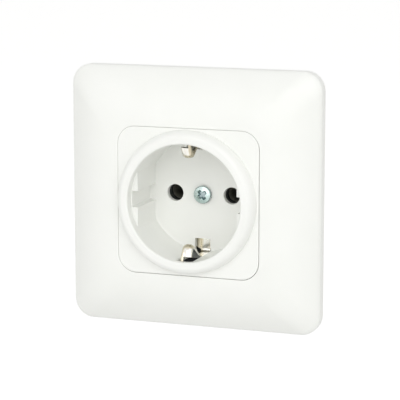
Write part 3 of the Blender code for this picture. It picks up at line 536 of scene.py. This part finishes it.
def frame_section():
    """Half-widths, corner radii and heights of the frame's section, once round it.

    It runs over the crown, down the outer edge, back under the crown, and round the skirt and the ledge.
    """
    crown_end = FRAME_HALF - FRAME_EDGE_ROUNDING / 2
    inner = FRAME_HALF - FRAME_WALL
    start = OPENING_HALF + OPENING_ROUNDING
    section = []
    edge = arc((start, FACE_HEIGHT - OPENING_ROUNDING), OPENING_ROUNDING, 180, 95, 5)
    for half, height in edge:
        section.append((half, OPENING_CORNER + half - OPENING_HALF, height))
    for row in range(1, CROWN_ROWS + 1):
        share = row / CROWN_ROWS
        corner = OPENING_CORNER + (FRAME_CORNER - OPENING_CORNER) * share
        section.append((start + (crown_end - start) * share, corner, frame_crown_height(share)))
    centre = (FRAME_HALF - FRAME_EDGE_ROUNDING, FRAME_EDGE_HEIGHT - FRAME_EDGE_ROUNDING)
    for half, height in arc(centre, FRAME_EDGE_ROUNDING, 45, 0, 6):
        section.append((half, FRAME_CORNER, height))
    foot_soft = FRAME_EDGE_ROUNDING / 4
    section.append((FRAME_HALF, FRAME_CORNER, foot_soft))
    section.append((FRAME_HALF - foot_soft, FRAME_CORNER - foot_soft, 0))
    section.append((inner, FRAME_CORNER - FRAME_WALL, 0))
    section.append((inner, FRAME_CORNER - FRAME_WALL, FRAME_EDGE_HEIGHT - FRAME_WALL))
    skirt = OPENING_HALF + SKIRT_WALL
    for row in range(CROWN_ROWS - UNDERSIDE_STRIDE, 0, -UNDERSIDE_STRIDE):
        share = row / CROWN_ROWS
        half = skirt + (inner - skirt) * share
        section.append((half, OPENING_CORNER, frame_crown_height(share) - FRAME_WALL))
    corner = OPENING_CORNER + SKIRT_WALL
    section.append((skirt, corner, FACE_HEIGHT - FRAME_WALL))
    section.append((skirt, corner, SKIRT_FOOT))
    section.append((OPENING_HALF, OPENING_CORNER, SKIRT_FOOT))
    section.append((OPENING_HALF, OPENING_CORNER, LEDGE_TOP - LEDGE_THICKNESS))
    ledge = OPENING_HALF - LEDGE_WIDTH
    section.append((ledge, OPENING_CORNER - LEDGE_WIDTH, LEDGE_TOP - LEDGE_THICKNESS))
    section.append((ledge, OPENING_CORNER - LEDGE_WIDTH, LEDGE_TOP))
    section.append((OPENING_HALF, OPENING_CORNER, LEDGE_TOP))
    return section


def make_frame():
    rings = []
    for half, radius, height in frame_section():
        share = min(1, (FRAME_HALF - half) / (FRAME_HALF - OPENING_HALF))
        shift = [share * step for step in OPENING_SHIFT]
        rings.append(square_ring(half, radius, -height, shift))
    piece = skin("frame_moulding", rings, closed=True)
    reach = OPENING_HALF + SKIRT_WALL + OVERCUT
    top = -(SKIRT_FOOT + NOTCH_HEIGHT)
    across = block("notch_x", (-reach, top, -NOTCH_HALF), (reach, OVERCUT, NOTCH_HALF))
    upright = block("notch_z", (-NOTCH_HALF, top, -reach), (NOTCH_HALF, OVERCUT, reach))
    combine(piece, [across, upright], "DIFFERENCE")
    dress(piece, WHITE, "cover_frame")


def cover_blank():
    """Plate, full-round collar and well wall."""
    rings = []
    for half, y in arc((PLATE_HALF - PLATE_ROUNDING, FACE_Y + PLATE_ROUNDING), PLATE_ROUNDING, 270, 360, 5):
        rings.append(square_ring(half, PLATE_CORNER + half - PLATE_HALF, y, PLATE_SHIFT))
    rings.append(square_ring(PLATE_HALF, PLATE_CORNER, FACE_Y + PLATE_THICKNESS, PLATE_SHIFT))
    plate = skin("cover_moulding", rings)
    outer = WELL_RADIUS + WELL_WALL
    middle = FACE_Y + PLATE_THICKNESS / 2
    width = COLLAR_BASE - COLLAR_TOP
    height = FACE_Y - RIM_Y
    profile = [(COLLAR_TOP + width * a, FACE_Y + height * b) for a, b in arc((0, 0), 1, -90, 0, 16)]
    profile += [(COLLAR_BASE, middle), (outer, middle), (outer, FLOOR_BACK_Y)]
    return combine(plate, [lathe("collar", profile, ROUND_STEPS)], "UNION")


def well_cutter():
    """Round room of the plug with a soft lip and floor edge, less the two flats."""
    lip = arc((WELL_RADIUS + LIP_ROUNDING, RIM_Y + LIP_ROUNDING), LIP_ROUNDING, 270, 180, 7)
    bottom = arc((WELL_RADIUS - FLOOR_FILLET, FLOOR_Y - FLOOR_FILLET), FLOOR_FILLET, 0, 90, 5)
    cutter = lathe("well", [(lip[0][0], RIM_Y - OVERCUT), *lip, *bottom], ROUND_STEPS)
    top = RIM_Y + FLAT_DROP
    far = WELL_RADIUS + OVERCUT
    blocks = []
    for side in (-1, 1):
        edge = arc((FLAT_DISTANCE + FLAT_ROUNDING, top + FLAT_ROUNDING), FLAT_ROUNDING, 180, 270, 6)
        outline = [(FLAT_DISTANCE, FLOOR_Y + OVERCUT), *edge, (far, top), (far, FLOOR_Y + OVERCUT)]
        outline = [(side * x, y) for x, y in outline]
        blocks.append(prism("flat", outline, -WELL_RADIUS, WELL_RADIUS, "Z"))
    return combine(cutter, blocks, "DIFFERENCE")


def flared_outline(mouth, back, half, corner):
    """Outline of a groove from its mouth to its back, with soft mouth edges and rounded back corners."""
    side = [(mouth - OVERCUT, half + EDGE_SOFTNESS)]
    side += arc((mouth + EDGE_SOFTNESS, half + EDGE_SOFTNESS), EDGE_SOFTNESS, 180, 270, 4)
    side += arc((back - corner, half - corner), corner, 90, 0, 4)
    return side + [(depth, -across) for depth, across in reversed(side)]


def groove_cutters():
    outline = flared_outline(FLAT_DISTANCE, FLAT_DISTANCE + GROOVE_DEPTH, GROOVE_HALF, GROOVE_CORNER)
    start = RIM_Y + FLAT_DROP - OVERCUT
    return [prism("groove", [(side * x, z) for x, z in outline], start, FLOOR_Y) for side in (-1, 1)]


def slot_cutters():
    """Slots through the wall and windows in the floor for the earth clips."""
    wall = math.sqrt(WELL_RADIUS**2 - SLOT_HALF**2)
    outline = flared_outline(wall, SLOT_REACH, SLOT_HALF, EDGE_SOFTNESS)
    cutters = []
    for side in (-1, 1):
        slot = [(x + side * SLOT_SHIFT, side * z) for z, x in outline]
        cutters.append(prism("slot", slot, RIM_Y + SLOT_DROP, FLOOR_BACK_Y + OVERCUT))
        middle = side * (WINDOW_INNER + WINDOW_OUTER) / 2
        half = (WINDOW_OUTER - WINDOW_INNER) / 2
        window = rounded_rectangle(SLOT_HALF, half, EDGE_SOFTNESS, 3)
        window = [(x + side * SLOT_SHIFT, z + middle) for x, z in window]
        cutters.append(prism("window", window, FLOOR_Y - OVERCUT, FLOOR_BACK_Y + OVERCUT))
    return cutters


def drills():
    """Pin holes with a softened mouth, and the hole of the cover screw."""
    tools = []
    for x in (-PIN_X, PIN_X):
        centre = (PIN_HOLE_RADIUS + EDGE_SOFTNESS, FLOOR_Y + EDGE_SOFTNESS)
        mouth = arc(centre, EDGE_SOFTNESS, 270, 180, 4)
        profile = [(mouth[0][0], FLOOR_Y - OVERCUT), *mouth, (PIN_HOLE_RADIUS, FLOOR_BACK_Y + OVERCUT)]
        tools.append(lathe("pin_hole", profile, PIN_HOLE_STEPS, (x, 0)))
    profile = [(SCREW_HOLE_RADIUS, FLOOR_Y - OVERCUT), (SCREW_HOLE_RADIUS, FLOOR_BACK_Y + OVERCUT)]
    tools.append(lathe("screw_hole", profile, SCREW_HOLE_STEPS))
    return tools


def make_cover():
    piece = cover_blank()
    combine(piece, [well_cutter()], "DIFFERENCE")
    combine(piece, groove_cutters() + slot_cutters() + drills(), "DIFFERENCE")
    dress(piece, WHITE, "centre_cover")


def thread(screw):
    """Rings of points for the thread, from the shoulder to the end, where it fades out."""
    radius = screw["radius"]
    pitch = screw["pitch"]
    start = screw["shoulder"]
    end = screw["length"]
    depth = pitch * THREAD_DEPTH
    rings = []
    count = int((end - start) / pitch * THREAD_ROWS)
    for row in range(count + 1):
        y = start + (end - start) * row / count
        fade = min(1, (end - y) / pitch)
        ring = []
        for step in range(SCREW_STEPS):
            phase = (row / THREAD_ROWS - step / SCREW_STEPS) % 1
            here = radius * (0.8 + 0.2 * fade) - depth * abs(2 * phase - 1) * fade
            angle = math.tau * step / SCREW_STEPS
            ring.append((here * math.cos(angle), y, here * math.sin(angle)))
        rings.append(ring)
    return rings


def screw_body(name, screw):
    """Threaded screw with a rounded head, its underside at y = 0 and its shank along +Y."""
    head_radius = screw["head_radius"]
    head_height = screw["head_height"]
    dome = screw["dome"]
    soft = head_height * 0.3
    profile = []
    for step in range(9):
        share = step / 8
        profile.append(((head_radius - soft) * (0.02 + 0.98 * share), -head_height + dome * share**2))
    rim_centre = (head_radius - soft, -head_height + dome + soft)
    profile += arc(rim_centre, soft, 290, 360, 5)
    profile += [(head_radius, -0.0001), (head_radius - 0.0001, 0), (screw["radius"], 0)]
    rings = []
    for here, y in profile:
        rings.append([(x, y, z) for x, z in arc((0, 0), here, 0, 360, SCREW_STEPS)[:-1]])
    return skin(name, rings + thread(screw))


def cross_ring(arm, width, middle, y):
    """Cross recess outline with a wide middle, at one level."""
    inner = middle * 0.7
    flank = arm * 0.93
    points = []
    for quarter in range(4):
        turn = math.radians(90 * quarter + RECESS_TURN)
        for along, across in ((inner, -inner), (flank, -width), (arm, 0), (flank, width)):
            x = along * math.cos(turn) - across * math.sin(turn)
            z = along * math.sin(turn) + across * math.cos(turn)
            points.append((x, y, z))
    return points


def make_cover_screw():
    piece = screw_body("cover_screw_body", COVER_SCREW)
    top = -COVER_SCREW["head_height"]
    levels = [cross_ring(arm, width, middle, top + depth) for arm, width, middle, depth in RECESS]
    combine(piece, [skin("recess", levels)], "DIFFERENCE")
    piece.data.transform(Matrix.Translation((0, FLOOR_Y - HEAD_GAP, 0)))
    dress(piece, COVER_ZINC, "cover_screw")


def make_claw_screws():
    head_radius = CLAW_SCREW["head_radius"]
    head_height = CLAW_SCREW["head_height"]
    for side, sign in (("left", -1), ("right", 1)):
        piece = screw_body(f"claw_screw_body_{side}", CLAW_SCREW)
        low = (-head_radius - OVERCUT, -head_height - OVERCUT, -DRIVER_SLOT_HALF)
        high = (head_radius + OVERCUT, -head_height * DRIVER_SLOT_FLOOR, DRIVER_SLOT_HALF)
        combine(piece, [block("driver_slot", low, high)], "DIFFERENCE")
        piece.data.transform(Matrix.Translation((sign * CLAW_SCREW_X, RING_Y - HEAD_GAP, 0)))
        dress(piece, SCREW_ZINC, f"claw_screw_{side}", f"{side}_claw_screw")


def strip_ring(point, side, low, high, dish, place):
    """Section of a strip with rounded edges and divided flats, its outer parts set back by the dish."""
    soft = min(STRAP_SOFT, (high - low) / 3)
    ring = []
    middle = (low + high) / 2
    half = (high - low) / 2
    flat = [(half - soft) * (1 - 2 * step / STRIP_PARTS) for step in range(1, STRIP_PARTS)]
    outline = rounded_rectangle(half, STRAP_HALF, soft, 3)
    outline = [
        *outline[:4], *[(x, STRAP_HALF) for x in flat],
        *outline[4:12], *[(-x, -STRAP_HALF) for x in flat], *outline[12:],
    ]
    for across, out in outline:
        here = point + side * (out - dish * abs(across / CLIP_HALF) ** DISH_POWER)
        ring.append(place(here.x, here.y, middle + across))
    return ring


def strip(name, path, place):
    """Bent strip; a path point is (u, v, low edge, high edge, dish)."""
    points = [Vector(step[:2]) for step in path]
    rings = []
    for i, (_, _, low, high, dish) in enumerate(path):
        before = points[max(i - 1, 0)]
        after = points[min(i + 1, len(points) - 1)]
        tangent = (after - before).normalized()
        turn = 1.0
        if 0 < i < len(points) - 1:
            turn = max((points[i] - before).normalized().dot(tangent), 0.5)
        side = Vector((-tangent.y, tangent.x)) / turn
        rings.append(strip_ring(points[i], side, low, high, dish, place))
    return skin(name, rings)


def clip_curve():
    """Centre line of one sprung end as (y, z), from the tip to the bar."""
    foot = Vector(FOOT)
    crest = Vector(CREST)
    rear = Vector(REAR)
    rise = foot.y - crest.y
    foot_pull = foot + Vector((rise * 0.05, -rise * 0.5))
    ramp = interpolate_bezier(foot, foot_pull, crest - Vector((rise * 0.33, 0)), crest, CURVE_STEPS)
    crest_pull = crest + Vector((rise * 0.2, 0))
    slope = interpolate_bezier(crest, crest_pull, rear - Vector((rise * 0.42, 0)), rear, CURVE_STEPS)
    corner = arc((STRAP_Y - BEND_RADIUS, rear.y - BEND_RADIUS), BEND_RADIUS, 90, 0, 8)
    return [Vector(TIP), *ramp, *slope[1:], *map(Vector, corner)]


def strap_route():
    """Whole centre line with the strip's edges, from the lower tip to the upper tip."""
    clip = clip_curve()
    count = next(i for i, point in enumerate(clip) if point.y < TONGUE_Z)
    outer, inner = clip[count - 1], clip[count]
    tongue = outer.lerp(inner, (outer.y - TONGUE_Z) / (outer.y - inner.y))
    step = tongue.lerp(inner, TONGUE_STEP)
    half = [(p.x, -p.y, -CLIP_HALF, FINGER_WIDTH - CLIP_HALF, 0) for p in [*clip[:count], tongue]]
    for p in [step, *clip[count:-1]]:
        dish = NOSE_DISH * math.exp(-(((p.x - CREST[0]) / NOSE_LENGTH) ** 2))
        half.append((p.x, -p.y, -CLIP_HALF, CLIP_HALF, dish))
    half.append((STRAP_Y, -WELL_RADIUS + 2 * STRAP_HALF, -ROOT_HALF, ROOT_HALF, 0))
    half.append((STRAP_Y, -WINDOW_INNER, -ROOT_HALF, ROOT_HALF, 0))
    half.append((STRAP_Y, -WINDOW_INNER + 2 * TAB_HALF, -BAR_HALF, BAR_HALF, 0))
    return half + [(y, -z, -high, -low, dish) for y, z, low, high, dish in reversed(half)]


def earth_tab():
    """Tab that leads back from the bar to the earth terminal."""
    tail_mid = TAIL_Y + STRAP_HALF
    turn_back = arc((TAB_X - BEND_RADIUS, STRAP_Y + BEND_RADIUS), BEND_RADIUS, -90, 0, 8)
    turn_out = arc((TAB_X + BEND_RADIUS, tail_mid - BEND_RADIUS), BEND_RADIUS, 180, 90, 8)
    route = [(BAR_HALF - OVERCUT, STRAP_Y), *turn_back, *turn_out, (EARTH_X, tail_mid)]
    path = [(x, y, TAB_Z - TAB_HALF, TAB_Z + TAB_HALF, 0) for x, y in route]
    return strip("earth_tab", path, lambda u, v, w: (u, v, w))


def make_strap():
    piece = strip("earth_spring_strip", strap_route(), lambda u, v, w: (w, u, v))
    tail = block(
        "tail",
        (EARTH_X - TAIL_HALF, TAIL_Y, TAB_Z - TAB_HALF),
        (EARTH_X + TAIL_HALF, TAIL_Y + 2 * STRAP_HALF, EARTH_Z + TAIL_PAST),
    )
    ribs = []
    for side in (-1, 1):
        for x in (-RIB_PITCH, 0, RIB_PITCH):
            outline = rounded_rectangle(*RIB_HALF, RIB_CORNER, 3)
            rib = [(x + a, side * RIB_Z + b) for a, b in outline]
            ribs.append(prism("rib", rib, STRAP_Y - STRAP_HALF - RIB_HEIGHT, STRAP_Y))
    combine(piece, [earth_tab(), tail, *ribs], "UNION")
    hole = [(SCREW_HOLE_RADIUS, STRAP_Y - OVERCUT), (SCREW_HOLE_RADIUS, STRAP_Y + OVERCUT)]
    combine(piece, [lathe("strap_hole", hole, SCREW_HOLE_STEPS)], "DIFFERENCE")
    dress(piece, NICKEL, "earth_strap")


# Room and light


def look_along(obj, direction):
    obj.rotation_euler = direction.to_track_quat("-Z", "Y").to_euler()


def heading(yaw, pitch):
    """Unit vector for a yaw to the left of +Y and a pitch below the horizon, in degrees."""
    yaw = math.radians(yaw)
    pitch = math.radians(pitch)
    return Vector((-math.sin(yaw) * math.cos(pitch), math.cos(yaw) * math.cos(pitch), -math.sin(pitch)))


def add_camera():
    data = bpy.data.cameras.new("camera")
    data.sensor_width = SENSOR_WIDTH
    data.lens = CAMERA_LENS
    data.clip_start = CAMERA_CLIP
    camera = bpy.data.objects.new("camera", data)
    bpy.context.scene.collection.objects.link(camera)
    camera.location = -CAMERA_DISTANCE * heading(*CAMERA_PLACE)
    look_along(camera, heading(*CAMERA_AIM))
    bpy.context.scene.camera = camera


def add_area(name, location, size, energy):
    data = bpy.data.lights.new(name, "AREA")
    data.size = size
    data.energy = energy
    light = bpy.data.objects.new(name, data)
    light.location = location
    look_along(light, -light.location)
    bpy.context.scene.collection.objects.link(light)


def seen_directly(nodes, links):
    """1 for camera, glossy and transmission rays, else 0."""
    path = nodes.new("ShaderNodeLightPath")
    seen = path.outputs["Is Camera Ray"]
    for ray in ("Is Glossy Ray", "Is Transmission Ray"):
        either = nodes.new("ShaderNodeMath")
        either.operation = "MAXIMUM"
        links.new(seen, either.inputs[0])
        links.new(path.outputs[ray], either.inputs[1])
        seen = either.outputs[0]
    return seen


def add_world(ambient):
    """Plain light from all round; the camera, gloss and glass see white."""
    world = bpy.data.worlds.new("studio")
    world.use_nodes = True
    nodes = world.node_tree.nodes
    links = world.node_tree.links
    nodes.clear()
    soft = nodes.new("ShaderNodeBackground")
    soft.inputs["Strength"].default_value = ambient
    white = nodes.new("ShaderNodeBackground")
    mix = nodes.new("ShaderNodeMixShader")
    links.new(seen_directly(nodes, links), mix.inputs["Fac"])
    for source, socket in ((soft, 1), (white, 2)):
        source.inputs["Color"].default_value = (1, 1, 1, 1)
        links.new(source.outputs[0], mix.inputs[socket])
    output = nodes.new("ShaderNodeOutputWorld")
    links.new(mix.outputs[0], output.inputs["Surface"])
    bpy.context.scene.world = world


def add_floor(level, lift):
    """Pale floor under the object, with a little light of its own for the rays that see it."""
    bm = bmesh.new()
    bmesh.ops.create_grid(bm, x_segments=2, y_segments=2, size=FLOOR_SIZE)
    bmesh.ops.translate(bm, verts=bm.verts, vec=(0, 0, level))
    floor = object_from("studio_floor", bm)
    material = bpy.data.materials.new("studio_floor_look")
    material.use_nodes = True
    nodes = material.node_tree.nodes
    links = material.node_tree.links
    shader = nodes["Principled BSDF"]
    shader.inputs["Base Color"].default_value = (*FLOOR_COLOUR, 1)
    shader.inputs["Roughness"].default_value = 0.9
    shader.inputs["Emission Color"].default_value = (1, 1, 1, 1)
    glow = nodes.new("ShaderNodeMath")
    glow.operation = "MULTIPLY"
    glow.inputs[1].default_value = lift
    links.new(seen_directly(nodes, links), glow.inputs[0])
    links.new(glow.outputs[0], shader.inputs["Emission Strength"])
    floor.data.materials.append(material)


def dress_node(node, material):
    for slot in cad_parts[node].material_slots:
        slot.material = material


make_frame()
make_cover()
make_cover_screw()
make_claw_screws()
make_strap()

dress_node("earth_bush", BRASS)
dress_node("contact_cover", BLACK)
dress_node("mechanism_base", GREY)
for side in ("live", "neutral"):
    dress_node(f"{side}_contact", CONTACT_BRASS)
for side in ("live", "neutral", "earth"):
    dress_node(f"{side}_terminal_cage", SHEET_ZINC)
    dress_node(f"{side}_terminal_screw", SCREW_ZINC)
dress_node("support_ring", SHEET_ZINC)
for number in range(1, 5):
    dress_node(f"ring_rivet_{number}", SCREW_ZINC)
for number in range(1, 3):
    dress_node(f"contact_cover_screw_{number}", SCREW_ZINC)
for side in ("left", "right"):
    dress_node(f"claw_{side}", SHEET_ZINC)
    dress_node(f"claw_nut_{side}", SHEET_ZINC)

bpy.context.scene.view_settings.view_transform = "Standard"
add_camera()
add_world(AMBIENT)
for name, (location, size, energy) in LAMPS.items():
    add_area(name, location, size, energy)
add_floor(FLOOR_LEVEL, FLOOR_LIFT)
